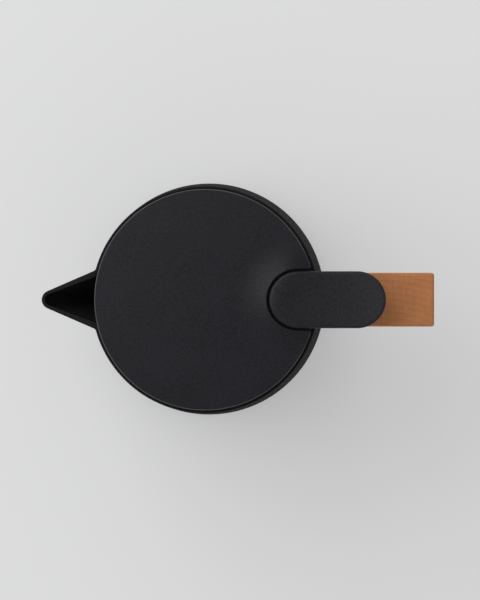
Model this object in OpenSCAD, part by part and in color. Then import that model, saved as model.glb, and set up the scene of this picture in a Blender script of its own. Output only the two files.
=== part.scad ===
// Stovetop moka pot: a tapered boiler, a spouted collector that screws on to it, a hinged lid with a
// thumb lever, and a wooden handle on a cast bracket. The origin is on the pot's axis at its base.
// +Z is up, the spout points to -X and the handle to +X. All sizes are in millimetres.

/* [Body] */
// Radius of the boiler's base
base_r = 51; // [49:0.5:53]
// Radius of the collector's rim
rim_r = 44.2; // [44:0.1:45]
// Height of the collector's rim
rim_z = 160; // [158:0.5:162]
// Height of the boiler's shoulder, where the collector starts
seam_z = 72; // [70:0.5:74]
// Thickness of the cast walls
wall = 3; // [2.5:0.1:3.2]

/* [Thread] */
// Radius over the threads of the boiler's neck
neck_r = 36.4; // [36:0.1:36.6]
// Radius of the neck's bore, which the funnel stands in
neck_bore_r = 31; // [30.5:0.1:31.5]
// Pitch of the thread
pitch = 3; // [2.5:0.25:3]
// Depth of the thread
thread_depth = 0.8; // [0.5:0.1:0.9]
// Gap between the neck's thread and the collector's bore, on the radius
thread_gap = 0.35; // [0.3:0.05:0.5]

/* [Spout] */
// Distance from the pot's axis to the spout's tip
spout_reach = 63.8; // [62:0.1:65]
// Half the width of the spout at the wall
spout_half_w = 12.7; // [11:0.1:13]
// Radius of the spout's tip
spout_tip_r = 3.7; // [3:0.1:4.2]
// Height of the spout's foot on the wall
spout_foot_z = 124; // [118:1:130]

/* [Lid] */
// Radius of the lid
lid_r = 43; // [42.8:0.1:43]
// Height of the lid's upper edge
lid_edge_z = 163.5; // [163:0.1:164]
// Height of the lid's crown
lid_crown_z = 165; // [164.6:0.1:165.2]
// Thickness of the lid
lid_t = 2; // [1.6:0.1:2.2]

/* [Lever] */
// Left end of the thumb lever
lever_x0 = 24.7; // [24:0.1:25]
// Right end of the thumb lever
lever_x1 = 70; // [69.6:0.1:70.6]
// Half the width of the thumb lever
lever_r = 11.05; // [10.6:0.05:11.2]
// Gap between the lever and its notch in the lid
notch_gap = 0.75; // [0.6:0.05:0.9]
// Distance from the pot's axis to the hinge pin
hinge_x = 61; // [60.5:0.1:61.2]
// Height of the hinge pin
hinge_z = 163; // [162.9:0.1:163.2]
// Radius of the hinge pin
pin_r = 1.5; // [1.3:0.1:1.6]

/* [Handle] */
// Width of the wooden handle
grip_w = 21.1; // [20:0.1:21.5]
// Distance from the pot's axis to the handle's outer face, at the top
grip_x1 = 89.7; // [89:0.1:91]
// Height of the handle's top face
grip_top_z = 152; // [151.5:0.1:152]
// Height of the handle's lower end
grip_foot_z = 57; // [50:1:65]

/* [Hidden] */

BLACK = "#2b2b2e";
ALLOY = "#b9bbbd";
STEEL = "#c4c6c8";
BRASS = "#c9a349";
WOOD = "#a06c45";
RUBBER = "#e6e2d8";

$fn = 96;
HULL_FN = 32;
cut = 0.1;   // how far a cutter runs past a face
far = 200;   // longer than anything here

// The outer cone of the boiler and the collector.
function outer_r(z) = base_r - (base_r - rim_r) * z / rim_z;
function inner_r(z) = outer_r(z) - wall;

// Lower chamber and its neck
base_edge = 1.5;
neck_top_z = seam_z + 12;
neck_throat_z = seam_z - 2;
boiler_roof_z = seam_z - 8;
thread_turns = 3;
thread_z = seam_z + 1.5;

// Safety valve, on a level axis under the spout. Lengths run out from the pot's axis.
valve_z = 42;
valve_seat = outer_r(valve_z) - 3.6;
valve_face = outer_r(valve_z) + 1.4;
boss_r = 8.5;
boss_t = 4.8;
valve_shank_r = 5;
valve_inner = valve_face - 6.4;
valve_washer_t = 1;
valve_hex_af = 14;
valve_hex_t = 5;
valve_outer = valve_face + valve_washer_t + valve_hex_t;
chamber_r = 3.4;
inlet_r = 1.5;
plunger_head_t = 1.5;
stem_r = 1.1;
stem_out = 1.6;
cap_t = 1.4;
spring_wire_r = 0.35;
spring_r = 2.3;
spring_turns = 4;
spring_end_gap = 0.05;

// Funnel, gasket and filter plate
sheet = 0.8;
funnel_rim_z = neck_top_z;
funnel_rim_r = neck_r - 1.2;
basket_r = neck_bore_r - 0.4;
basket_floor_z = funnel_rim_z - 21;
cone_foot_z = basket_floor_z - 13;
stem_foot_z = 8;
stem_outer_r = 4.8;
plate_t = 0.8;
hole_rings = 5;
funnel_hole_step = 5.4;
funnel_hole_r = 0.9;
filter_hole_step = 5.6;
filter_hole_r = 0.8;
gasket_z = funnel_rim_z + sheet;
gasket_t = 3;
gasket_r = neck_r;
gasket_bore_r = 28;
filter_r = 32;
floor_z = gasket_z + gasket_t;

// Collector
skirt_r = neck_r + thread_gap;
skirt_foot_z = seam_z + 2;
seam_gap = 0.6;
floor_edge_z = floor_z + 5;
hub_r = 12.5;
hub_z = floor_z + 13;
hub_side = 4;
riser_bore_r = 9;
riser_seat = 6;
rebate_z = rim_z - 1.6;
rebate_r = lid_r + 0.4;

// Riser column
riser_foot_r = riser_bore_r - 0.02;
collar_w = 1.5;
collar_t = 0.8;
riser_r = 5.8;
riser_top_r = 4.8;
riser_duct_r = 3.5;
riser_top_z = 143;
riser_outlet_z = 135;
riser_outlet_r = 2.4;

// Spout
spout_rim_z = rim_z;
spout_wall_root = 2.8;
spout_wall_tip = 1.3;
spout_root_x = rim_r - 4;
spout_drop = 5;
channel_lift = 12;
channel_reach = inner_r(rim_z) - 6;

// Lever and hinge
lever_floor_z = 162;
lever_under_z = 160;
lever_low_x = 44;
lever_low_z = 166;
lever_high_z = 169.4;
lever_blank_t = 12;
lever_end_x = lever_x1 - lever_r;
lever_start_x = lever_x0 + lever_r;
lever_concave_r = (pow(lever_x1 - lever_low_x, 2) + pow(lever_high_z - lever_low_z, 2))
  / (2 * (lever_high_z - lever_low_z));
lever_step_x = rim_r + 2;
lug_r = 2.6;
lug_w = 8;
lug_lean = 50;
lug_len = 24;
lug_clear = 0.4;
slot_x0 = hinge_x - 8.2;
slot_x1 = hinge_x + 7.4;
slot_ceiling_z = hinge_z + lug_r + lug_clear;
washer_t = 0.5;
slot_half_w = lug_w / 2 + washer_t + 0.05;
pin_recess = 0.15;
pin_half_len = sqrt(pow(lever_r, 2) - pow(hinge_x + pin_r - lever_end_x, 2)) - pin_recess;
pin_run_gap = 0.05;
lever_screw_x = [29, 36.5];
lever_screw_r = 1.5;
lever_screw_head_r = 2.8;
lever_screw_head_t = 1.8;
lever_screw_key_r = 1.3;
lever_screw_key_t = 1.1;
lever_screw_bite = 2.2;
pad_t = 2;
pad_w = 3;
swell_z = 167.4;
swell_r = 46;
swell_x = 34;

// Handle and bracket
cone_lean = (base_r - rim_r) / rim_z;
grip_x0 = 60;
grip_arm_z = 131;
grip_inner_x = 70;
grip_bend_r = 8;
grip_edge_r = 3;
bracket_z0 = 126;
bracket_z1 = 156;
bracket_t = 4.6;
bracket_arm_z0 = 134;
bracket_arm_z1 = 150;
tongue_w = 6;
tongue_x1 = 83;
tongue_z0 = 136.5;
tongue_z1 = 147.5;
bracket_screw_z = [138.5, 146];
bracket_screw_r = 2;
bracket_screw_len = 12;
bracket_head_r = 3.4;
bracket_head_t = 2;
bracket_head_gap = 0.5;
bracket_seat = 0.25;
handle_screw_x = [66.5, 77.5];
handle_screw_z = 142;
handle_screw_r = 2;
handle_head_r = 3.6;
handle_head_t = 1.8;
handle_sink = 2.2;
screw_slack = 0.1;
nut_r = 3;
nut_bore = 3.5;
hex_key_r = 1.6;
hex_key_t = 1;
fit = 0.02;

// Rings of a thread seen from the side, as [radius, height] points from the top down.
function rings(crest, root, z0) = [
  for (i = [thread_turns - 1:-1:0], s = [3, 2, 1, 0])
    [s == 1 || s == 2 ? crest : root, z0 + pitch * (i + [0.15, 0.4, 0.6, 0.85][s])]
];

// A rod along X between two distances from the pot's axis, pointing to the spout.
module to_spout(x0, x1, r) {
  translate([-x0, 0, valve_z]) rotate([0, -90, 0]) cylinder(r = r, h = x1 - x0);
}

// A rod along X at a height, pointing to the handle.
module to_handle(x0, x1, r, z) {
  translate([x0, 0, z]) rotate([0, 90, 0]) cylinder(r = r, h = x1 - x0);
}

// A rod across the pot, centred on y = 0.
module across(x, z, r, half_len) {
  translate([x, half_len, z]) rotate([90, 0, 0]) cylinder(r = r, h = 2 * half_len);
}

// The cone that the walls' outer faces lie on.
module outer_cone() {
  cylinder(r1 = outer_r(0), r2 = outer_r(rim_z + 10), h = rim_z + 10);
}

// ---- Lower chamber ----

module boiler() {
  color(BLACK) difference() {
    union() {
      rotate_extrude() polygon(concat(
        [[0, 0], [base_r - base_edge, 0], [outer_r(base_edge), base_edge],
         [outer_r(seam_z), seam_z], [neck_r - thread_depth, seam_z]],
        [for (p = [thread_turns * 4 - 1:-1:0]) rings(neck_r, neck_r - thread_depth, thread_z)[p]],
        [[neck_r - thread_depth, neck_top_z], [neck_bore_r, neck_top_z], [neck_bore_r, neck_throat_z],
         [inner_r(boiler_roof_z), boiler_roof_z], [inner_r(base_edge) - base_edge, wall], [0, wall]]));
      to_spout(valve_face - boss_t, valve_face, boss_r);
    }
    to_spout(valve_inner - cut, valve_face + cut, valve_shank_r + fit);
  }
}

module valve_body() {
  color(BRASS) difference() {
    union() {
      to_spout(valve_inner, valve_outer - cut, valve_shank_r);
      translate([-valve_face - valve_washer_t, 0, valve_z]) rotate([0, -90, 0])
        cylinder(r = valve_hex_af / sqrt(3), h = valve_hex_t, $fn = 6);
    }
    to_spout(valve_seat, valve_outer + cut, chamber_r);
    to_spout(valve_inner - cut, valve_seat + cut, inlet_r);
  }
}

module valve_washer() {
  color(RUBBER) difference() {
    to_spout(valve_face, valve_face + valve_washer_t, valve_hex_af / 2);
    to_spout(valve_face - cut, valve_face + valve_washer_t + cut, valve_shank_r + fit);
  }
}

module valve_plunger() {
  color(STEEL) union() {
    to_spout(valve_seat, valve_seat + plunger_head_t, chamber_r - 0.3);
    to_spout(valve_seat, valve_outer + stem_out, stem_r);
  }
}

// The coil's centre line, from the plunger's head out to the cap.
spring_x0 = valve_seat + plunger_head_t + spring_wire_r + spring_end_gap;
spring_x1 = valve_outer - cap_t - spring_wire_r - spring_end_gap;
spring_steps = 20;
spring_sides = 8;
function coil_point(i) = let (a = 360 * i / spring_steps, t = i / (spring_steps * spring_turns))
  [-(spring_x0 + (spring_x1 - spring_x0) * t), spring_r * cos(a), valve_z + spring_r * sin(a)];
function coil_ring(i) = let (a = 360 * i / spring_steps, c = coil_point(i)) [
  for (k = [0:spring_sides - 1]) let (b = 360 * k / spring_sides)
    c + spring_wire_r * [sin(b), cos(b) * cos(a), cos(b) * sin(a)]
];

module valve_spring() {
  n = spring_steps * spring_turns;
  m = spring_sides;
  color(STEEL) polyhedron(
    points = [for (i = [0:n], p = coil_ring(i)) p],
    faces = concat(
      [[for (k = [0:m - 1]) k]],
      [for (i = [0:n - 1], k = [0:m - 1])
        [i * m + k, (i + 1) * m + k, (i + 1) * m + (k + 1) % m, i * m + (k + 1) % m]],
      [[for (k = [m - 1:-1:0]) n * m + k]]));
}

module valve_cap() {
  color(BRASS) difference() {
    to_spout(valve_outer - cap_t, valve_outer, chamber_r - fit);
    to_spout(valve_outer - cap_t - cut, valve_outer + cut, stem_r + 0.1);
  }
}

// ---- Funnel and filter ----

module funnel() {
  inner = basket_r - sheet;
  stem_inner = stem_outer_r - sheet;
  color(ALLOY) rotate_extrude() polygon([
    [funnel_rim_r, funnel_rim_z], [funnel_rim_r, funnel_rim_z + sheet], [inner, funnel_rim_z + sheet],
    [inner, basket_floor_z], [inner - 2, basket_floor_z], [inner - 2, basket_floor_z - sheet],
    [stem_inner, cone_foot_z], [stem_inner, stem_foot_z], [stem_outer_r, stem_foot_z],
    [stem_outer_r, cone_foot_z - sheet], [basket_r, basket_floor_z - 2 * sheet],
    [basket_r, funnel_rim_z]]);
}

// Holes on rings, six more on each ring than on the one inside it.
module ring_holes(count, spacing, r, z, h) {
  for (i = [0:count - 1], k = [0:max(6 * i, 1) - 1]) {
    rotate([0, 0, 60 * k / max(i, 1)]) translate([spacing * i, 0, z - cut])
      cylinder(r = r, h = h + 2 * cut, $fn = 16);
  }
}

module funnel_plate() {
  color(STEEL) difference() {
    translate([0, 0, basket_floor_z]) cylinder(r = basket_r - sheet - 0.1, h = plate_t);
    ring_holes(hole_rings, funnel_hole_step, funnel_hole_r, basket_floor_z, plate_t);
  }
}

module gasket() {
  color(RUBBER) rotate_extrude() polygon([
    [gasket_bore_r, gasket_z], [gasket_r, gasket_z], [gasket_r, floor_z],
    [filter_r + 0.3, floor_z], [filter_r + 0.3, floor_z - plate_t], [gasket_bore_r, floor_z - plate_t]]);
}

module filter_plate() {
  color(STEEL) difference() {
    translate([0, 0, floor_z - plate_t]) cylinder(r = filter_r, h = plate_t);
    ring_holes(hole_rings, filter_hole_step, filter_hole_r, floor_z - plate_t, plate_t);
  }
}

// ---- Collector ----

// A beak's space: a triangle with a round tip at the top that narrows to its foot on the wall.
module beak(inset_root, inset_tip, top_z, foot_z) {
  tip_x = -(spout_reach - spout_tip_r);
  tip_r = spout_tip_r - inset_tip;
  half_w = spout_half_w - inset_root;
  foot_x = -(outer_r(foot_z) - inset_root - 1);
  hull() {
    translate([tip_x, 0, spout_rim_z - spout_drop])
      cylinder(r = tip_r, h = spout_drop + top_z, $fn = HULL_FN);
    translate([-spout_root_x, -half_w, spout_rim_z - spout_drop])
      cube([1, 2 * half_w, spout_drop + top_z]);
    translate([foot_x, 0, foot_z]) sphere(r = 1, $fn = HULL_FN / 2);
  }
}

// The channel that the coffee runs out through, cut from both the wall and the spout.
module spout_channel() {
  difference() {
    beak(spout_wall_root, spout_wall_tip, 1, spout_foot_z + channel_lift);
    cylinder(r = channel_reach, h = far);
  }
}

module collector() {
  color(BLACK) difference() {
    rotate_extrude() polygon([
      [skirt_r, skirt_foot_z], [skirt_r + 1, seam_z + seam_gap],
      [outer_r(seam_z + seam_gap), seam_z + seam_gap], [outer_r(rim_z), rim_z], [rebate_r, rim_z],
      [rebate_r, rebate_z], [inner_r(rebate_z), rebate_z],
      [inner_r(floor_edge_z), floor_edge_z + 2], [inner_r(floor_edge_z) - 2, floor_edge_z],
      [hub_r, hub_z - hub_side], [hub_r, hub_z], [riser_bore_r, hub_z],
      [riser_bore_r, hub_z - riser_seat],
      [gasket_bore_r, floor_z + 0.6], [gasket_bore_r, floor_z], [skirt_r, floor_z]]);
    spout_channel();
    for (z = bracket_screw_z) {
      to_handle(inner_r(z) - 3, outer_r(z) + 1, bracket_screw_r + 0.05, z);
      to_handle(inner_r(z) - 3, inner_r(z) + bracket_seat, bracket_head_r + bracket_head_gap, z);
    }
  }
}

// The spout belongs to the collector's casting. It is a sub-part of its own so that its walls stay
// simple around the channel.
module spout() {
  color(BLACK) difference() {
    beak(0, 0, 0, spout_foot_z);
    outer_cone();
    spout_channel();
  }
}

module riser_column() {
  color(ALLOY) difference() {
    rotate_extrude() polygon([
      [riser_foot_r - 1, hub_z - riser_seat], [riser_foot_r, hub_z - riser_seat],
      [riser_foot_r, hub_z], [riser_foot_r + collar_w, hub_z],
      [riser_foot_r + collar_w, hub_z + collar_t], [riser_r + 1, hub_z + collar_t + 0.3],
      [riser_r, hub_z + 5], [riser_top_r, riser_top_z - 2],
      [riser_top_r - 1.6, riser_top_z], [0, riser_top_z], [0, riser_top_z - 2.6],
      [riser_duct_r, riser_top_z - 4], [riser_duct_r, hub_z + 1]]);
    across(0, riser_outlet_z, riser_outlet_r, riser_r + 1);
  }
}

// ---- Handle ----

module handle_bracket() {
  half_w = grip_w / 2;
  color(BLACK) difference() {
    union() {
      intersection() {
        cylinder(r1 = outer_r(0) + bracket_t, r2 = outer_r(rim_z) + bracket_t, h = rim_z);
        translate([0, -half_w, bracket_z0]) cube([far, 2 * half_w, bracket_z1 - bracket_z0]);
      }
      translate([inner_r(rim_z), -half_w, bracket_arm_z0])
        cube([grip_x0 - inner_r(rim_z), 2 * half_w, bracket_arm_z1 - bracket_arm_z0]);
      translate([grip_x0 - 1, -tongue_w / 2, tongue_z0])
        cube([tongue_x1 - grip_x0 + 1, tongue_w, tongue_z1 - tongue_z0]);
      intersection() {
        translate([hinge_x, -lug_w / 2, hinge_z]) rotate([0, lug_lean, 0])
          translate([-lug_r, 0, -lug_len]) cube([2 * lug_r, lug_w, lug_len]);
        translate([0, -half_w, bracket_arm_z0]) cube([far, 2 * half_w, far]);
      }
      across(hinge_x, hinge_z, lug_r, lug_w / 2);
    }
    outer_cone();
    across(hinge_x, hinge_z, pin_r + pin_run_gap, lug_w);
    for (z = bracket_screw_z) to_handle(0, inner_r(z) + bracket_screw_len, bracket_screw_r + fit, z);
    for (x = handle_screw_x) across(x, handle_screw_z, handle_screw_r + screw_slack, tongue_w);
  }
}

module bracket_screws() {
  color(STEEL) for (z = bracket_screw_z) {
    seat = inner_r(z) + bracket_seat;
    to_handle(seat - bracket_head_t, seat, bracket_head_r, z);
    to_handle(seat - 1, seat + bracket_screw_len - 1, bracket_screw_r, z);
  }
}

// The handle from the side: an arm that leaves the bracket and a grip that runs down along the body.
module grip_outline() {
  lean = cone_lean * (grip_top_z - grip_foot_z);
  lean_arm = cone_lean * (grip_arm_z - grip_foot_z);
  difference() {
    polygon([
      [grip_x0, grip_arm_z], [grip_x0, grip_top_z], [grip_x1, grip_top_z],
      [grip_x1 + lean, grip_foot_z + grip_edge_r], [grip_x1 + lean - grip_edge_r, grip_foot_z],
      [grip_inner_x + lean_arm + grip_edge_r, grip_foot_z],
      [grip_inner_x + lean_arm, grip_foot_z + grip_edge_r],
      [grip_inner_x, grip_arm_z - grip_bend_r], [grip_inner_x - grip_bend_r, grip_arm_z]]);
    translate([grip_inner_x - grip_bend_r, grip_arm_z - grip_bend_r]) circle(r = grip_bend_r);
  }
}

module handle_grip() {
  half_w = grip_w / 2;
  color(WOOD) difference() {
    translate([0, half_w, 0]) rotate([90, 0, 0]) linear_extrude(grip_w) grip_outline();
    translate([grip_x0 - 1, -tongue_w / 2 - fit, tongue_z0 - fit])
      cube([tongue_x1 - grip_x0 + 1.2, tongue_w + 2 * fit, tongue_z1 - tongue_z0 + 2 * fit]);
    for (x = handle_screw_x) {
      across(x, handle_screw_z, handle_screw_r + screw_slack, grip_w);
      translate([x, handle_sink - half_w, handle_screw_z]) rotate([90, 0, 0])
        cylinder(r = handle_head_r + screw_slack, h = far);
      translate([x, tongue_w / 2 + 1.5, handle_screw_z]) rotate([-90, 0, 0])
        cylinder(r = nut_r + fit, h = far);
      translate([x, half_w - handle_sink, handle_screw_z]) rotate([-90, 0, 0])
        cylinder(r = handle_head_r + screw_slack, h = far);
    }
  }
}

module handle_screws() {
  half_w = grip_w / 2;
  color(BLACK) for (x = handle_screw_x) translate([x, handle_sink - half_w, handle_screw_z]) {
    difference() {
      rotate([90, 0, 0]) cylinder(r = handle_head_r, h = handle_head_t);
      translate([0, hex_key_t - handle_head_t, 0]) rotate([90, 0, 0])
        cylinder(r = hex_key_r, h = far, $fn = 6);
    }
    rotate([-90, 0, 0]) cylinder(r = handle_screw_r, h = grip_w - handle_sink - 4);
  }
}

module handle_nuts() {
  half_w = grip_w / 2;
  sleeve_y = tongue_w / 2 + 1.6;
  color(BLACK) for (x = handle_screw_x) difference() {
    union() {
      translate([x, half_w - handle_sink, handle_screw_z]) rotate([-90, 0, 0])
        cylinder(r = handle_head_r, h = handle_head_t);
      translate([x, sleeve_y, handle_screw_z]) rotate([-90, 0, 0])
        cylinder(r = nut_r, h = half_w - handle_sink + 0.5 - sleeve_y);
    }
    translate([x, sleeve_y - cut, handle_screw_z]) rotate([-90, 0, 0])
      cylinder(r = handle_screw_r + fit, h = nut_bore);
    translate([x, half_w - handle_sink + handle_head_t - hex_key_t, handle_screw_z])
      rotate([-90, 0, 0]) cylinder(r = hex_key_r, h = far, $fn = 6);
  }
}

// ---- Lid ----

// The lever's outline from above, grown by a gap.
module lever_plan(gap, x1) {
  translate([lever_start_x, 0]) circle(r = lever_r + gap);
  translate([lever_start_x, -lever_r - gap]) square([x1 - lever_start_x, 2 * (lever_r + gap)]);
}

// The lid's dome, with its swelling around the lever, at a depth below the outer surface.
module dome(depth) {
  dome_r = (pow(lid_r, 2) + pow(lid_crown_z - lid_edge_z, 2)) / (2 * (lid_crown_z - lid_edge_z));
  translate([0, 0, lid_crown_z - dome_r]) sphere(r = dome_r - depth);
  translate([swell_x, 0, swell_z - swell_r]) sphere(r = swell_r - depth);
}

module lid() {
  skirt_z = rebate_z + 0.2;
  color(BLACK) difference() {
    union() {
      difference() {
        intersection() {
          translate([0, 0, skirt_z]) cylinder(r = lid_r, h = far);
          dome(0);
        }
        intersection() {
          cylinder(r = lid_r - 1.5, h = far);
          dome(lid_t);
        }
      }
      intersection() {
        translate([0, 0, lever_floor_z - pad_t]) cylinder(r = lid_r - 0.8, h = pad_t);
        translate([0, 0, lever_floor_z - pad_t]) linear_extrude(pad_t) lever_plan(pad_w, far);
      }
    }
    translate([0, 0, lever_floor_z]) linear_extrude(far) lever_plan(notch_gap, far);
    for (x = lever_screw_x) {
      translate([x, 0, 0]) cylinder(r = lever_screw_r + screw_slack, h = lever_floor_z + 1);
    }
  }
}

module lid_lever() {
  color(BLACK) difference() {
    intersection() {
      translate([0, 0, lever_under_z]) linear_extrude(lever_blank_t) union() {
        lever_plan(0, lever_end_x);
        translate([lever_end_x, 0]) circle(r = lever_r);
      }
      translate([0, far / 2, 0]) rotate([90, 0, 0]) linear_extrude(far) polygon([
        [lever_x0 - 1, lever_floor_z], [lever_step_x - 1.4, lever_floor_z],
        [lever_step_x, lever_under_z - cut], [lever_x1 - 4.5, lever_under_z - cut],
        [lever_x1 + 1, lever_under_z + 3.4], [lever_x1 + 1, far], [lever_x0 - 1, far]]);
    }
    across(lever_low_x, lever_low_z + lever_concave_r, lever_concave_r, lever_r + 1);
    translate([slot_x0, -slot_half_w, lever_under_z - 1])
      cube([slot_x1 - slot_x0, 2 * slot_half_w, slot_ceiling_z - lever_under_z + 1]);
    across(hinge_x, hinge_z, pin_r + 0.01, lever_r + 1);
    for (x = lever_screw_x) {
      translate([x, 0, lever_floor_z - 1]) cylinder(r = lever_screw_r, h = lever_screw_bite + 1.4);
    }
  }
}

module lever_screws() {
  head_z = lever_floor_z - pad_t;
  color(STEEL) for (x = lever_screw_x) translate([x, 0, head_z - lever_screw_head_t]) difference() {
    union() {
      cylinder(r = lever_screw_head_r, h = lever_screw_head_t);
      cylinder(r = lever_screw_r - fit, h = lever_screw_head_t + pad_t + lever_screw_bite);
    }
    translate([0, 0, -cut]) cylinder(r = lever_screw_key_r, h = lever_screw_key_t, $fn = 6);
  }
}

module hinge_pin() {
  color(STEEL) across(hinge_x, hinge_z, pin_r, pin_half_len);
}

module hinge_washers() {
  color(RUBBER) for (side = [-1, 1]) difference() {
    translate([0, side * (lug_w + washer_t) / 2, 0]) across(hinge_x, hinge_z, lug_r - 0.2, washer_t / 2);
    across(hinge_x, hinge_z, pin_r + 0.03, far);
  }
}

boiler();
valve_body();
valve_washer();
valve_plunger();
valve_spring();
valve_cap();
funnel();
funnel_plate();
gasket();
filter_plate();
collector();
spout();
riser_column();
handle_bracket();
bracket_screws();
handle_grip();
handle_screws();
handle_nuts();
lid();
lid_lever();
lever_screws();
hinge_pin();
hinge_washers();
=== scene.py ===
"""The looks of a stovetop moka pot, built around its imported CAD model. The pot's sizes are given in
millimetres, and the camera, the lights and the floor's size in metres.

The pot's axis is the Z axis, the spout points to -X and the handle to +X. Turned parts are grids of
rings round the axis, and plates such as the lid are triangulated outlines with a height at each point.
"""

import math

import bmesh
import bpy
import numpy as np
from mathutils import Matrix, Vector, geometry


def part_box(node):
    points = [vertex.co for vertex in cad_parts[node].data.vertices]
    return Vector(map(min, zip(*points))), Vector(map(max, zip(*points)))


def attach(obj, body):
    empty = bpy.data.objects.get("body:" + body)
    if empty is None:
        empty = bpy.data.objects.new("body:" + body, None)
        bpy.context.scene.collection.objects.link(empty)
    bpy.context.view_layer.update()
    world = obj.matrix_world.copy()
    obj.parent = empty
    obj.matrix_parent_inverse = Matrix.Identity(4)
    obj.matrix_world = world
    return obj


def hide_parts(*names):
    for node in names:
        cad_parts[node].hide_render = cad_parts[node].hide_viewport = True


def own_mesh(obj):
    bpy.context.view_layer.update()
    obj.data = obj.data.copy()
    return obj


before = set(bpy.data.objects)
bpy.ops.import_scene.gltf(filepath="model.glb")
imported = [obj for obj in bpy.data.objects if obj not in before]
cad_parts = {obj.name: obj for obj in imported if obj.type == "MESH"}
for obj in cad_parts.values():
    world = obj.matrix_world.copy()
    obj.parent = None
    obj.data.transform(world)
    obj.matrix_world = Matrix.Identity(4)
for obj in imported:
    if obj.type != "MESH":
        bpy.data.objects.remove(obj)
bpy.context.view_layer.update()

MM = 0.001
WELD = 0.002 * MM       # points nearer than this become one
SHARP_DEG = 32          # edges that bend more than this stay sharp

# ---------------------------------------------------------------- sizes, in millimetres
BASE_R = 51.0
RIM_R = 44.2
RIM_Z = 160.0
SEAM_Z = 72.0
WALL = 3.0
CONE = (BASE_R - RIM_R) / RIM_Z

NECK_R = 36.4
NECK_BORE_R = 31.0
NECK_TOP_Z = 84.0
PITCH = 3.0
THREAD_DEPTH = 0.8
SKIRT_R = 36.75
GASKET_TOP_Z = 87.8
GASKET_BORE_R = 28.0
HUB_R = 12.5
HUB_BORE_R = 9.0

VALVE_Z = 42.0
VALVE_FACE = 50.615
BOSS_R = 8.5
BOSS_DEPTH = 4.8        # the wall's thickness at the boss
BOSS_ROWS = 11.0        # how far above and below the valve the wall's rows are close together

SPOUT_TIP_X = 60.1
SPOUT_TIP_R = 3.7
SPOUT_FOOT_Z = 124.0
SPOUT_LIP = 5.0

LID_R = 43.0
LID_EDGE_Z = 163.5
LID_CROWN_Z = 165.0
LID_SKIRT_Z = 158.6
LID_SHELL = 2.0
SWELL_H = 2.6
SWELL_REACH = 13.0
SWELL_END_X = 44.0
SWELL_FADE = 14.0       # it dies away over this length before its end
REBATE_R = 43.2
REBATE_Z = 158.4

LEVER_X0 = 24.7
LEVER_X1 = 70.0
LEVER_R = 11.05
NOTCH_GAP = 0.75
LEVER_FLOOR_Z = 162.0
LEVER_UNDER_Z = 160.0
LEVER_STEP_X = 46.2
LEVER_LOW_X = 44.0
LEVER_LOW_Z = 166.0
LEVER_HIGH_Z = 169.4
LEVER_RAMP_X = LEVER_STEP_X - 1.4       # the underside slopes down from here to its step
LEVER_CHAMFER_X = LEVER_X1 - 4.5        # and rises again from here
LEVER_CHAMFER_H = 3.4
HINGE_X = 61.0
SLOT_HALF_W = 4.55
SLOT_CEILING_Z = 166.0

GRIP_W = 21.1
GRIP_SCREWS = ((66.5, 142.0), (77.5, 142.0))


def outer_r(z):
    return BASE_R - CONE * z


def inner_r(z):
    return outer_r(z) - WALL


def outer_at(z):
    """The outer wall's (r, z) at a height."""
    return outer_r(z), z


def inner_at(z):
    return inner_r(z), z


# ---------------------------------------------------------------- mesh helpers
def add_piece(mesh, body, nodes, material, sharp_deg=SHARP_DEG):
    """Shades a mesh, puts it in the scene, rides it on its body and hides the nodes it replaces."""
    mesh.shade_smooth()
    mesh.set_sharp_from_angle(angle=math.radians(sharp_deg))
    mesh.materials.append(material)
    obj = bpy.data.objects.new(mesh.name, mesh)
    bpy.context.scene.collection.objects.link(obj)
    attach(obj, body)
    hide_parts(*nodes)
    return obj


def finish_mesh(name, verts, faces, body, nodes, material):
    """Makes a piece from points in millimetres and faces between them."""
    mesh = bpy.data.meshes.new(name)
    mesh.from_pydata([Vector(v) * MM for v in verts], [], faces)
    bm = bmesh.new()
    bm.from_mesh(mesh)
    bmesh.ops.remove_doubles(bm, verts=bm.verts, dist=WELD)
    bmesh.ops.dissolve_degenerate(bm, edges=bm.edges, dist=WELD / 2)
    bmesh.ops.recalc_face_normals(bm, faces=bm.faces)
    bm.to_mesh(mesh)
    bm.free()
    return add_piece(mesh, body, nodes, material)


def turned(name, rows, angles, body, nodes, material):
    """A closed profile swept round the axis, from the angle 0 at -X. Each row is (r, z) or (r, z, shape),
    where shape(r, z, angle) gives the row's radius at an angle."""
    verts = []
    for row in rows:
        r, z = row[:2]
        for a in angles:
            rr = row[2](r, z, a) if len(row) > 2 else r
            verts.append((-rr * math.cos(a), rr * math.sin(a), z))
    m, n = len(angles), len(rows)
    faces = []
    for i in range(n):
        j = (i + 1) % n
        if rows[i][0] < 1e-6 and rows[j][0] < 1e-6:
            continue
        for k in range(m):
            q = (k + 1) % m
            faces.append((i * m + k, i * m + q, j * m + q, j * m + k))
    return finish_mesh(name, verts, faces, body, nodes, material)


def angle_steps(fine_deg, fine_step, coarse_step):
    """Angles in radians round the whole circle, closer together within fine_deg of the spout."""
    fine_count = round(2 * fine_deg / fine_step)
    coarse_count = round((360 - 2 * fine_deg) / coarse_step)
    fine = [-fine_deg + 2 * fine_deg * k / fine_count for k in range(fine_count)]
    coarse = [fine_deg + (360 - 2 * fine_deg) * k / coarse_count for k in range(coarse_count)]
    return [math.radians(d) for d in fine + coarse]


def along(start, end, step, shape=None):
    """Rows from one (r, z) to another, about a step apart, without the last one."""
    length = math.hypot(end[0] - start[0], end[1] - start[1])
    count = max(1, round(length / step))
    rows = []
    for k in range(count):
        t = k / count
        row = (start[0] + (end[0] - start[0]) * t, start[1] + (end[1] - start[1]) * t)
        rows.append(row + ((shape,) if shape else ()))
    return rows


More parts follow.
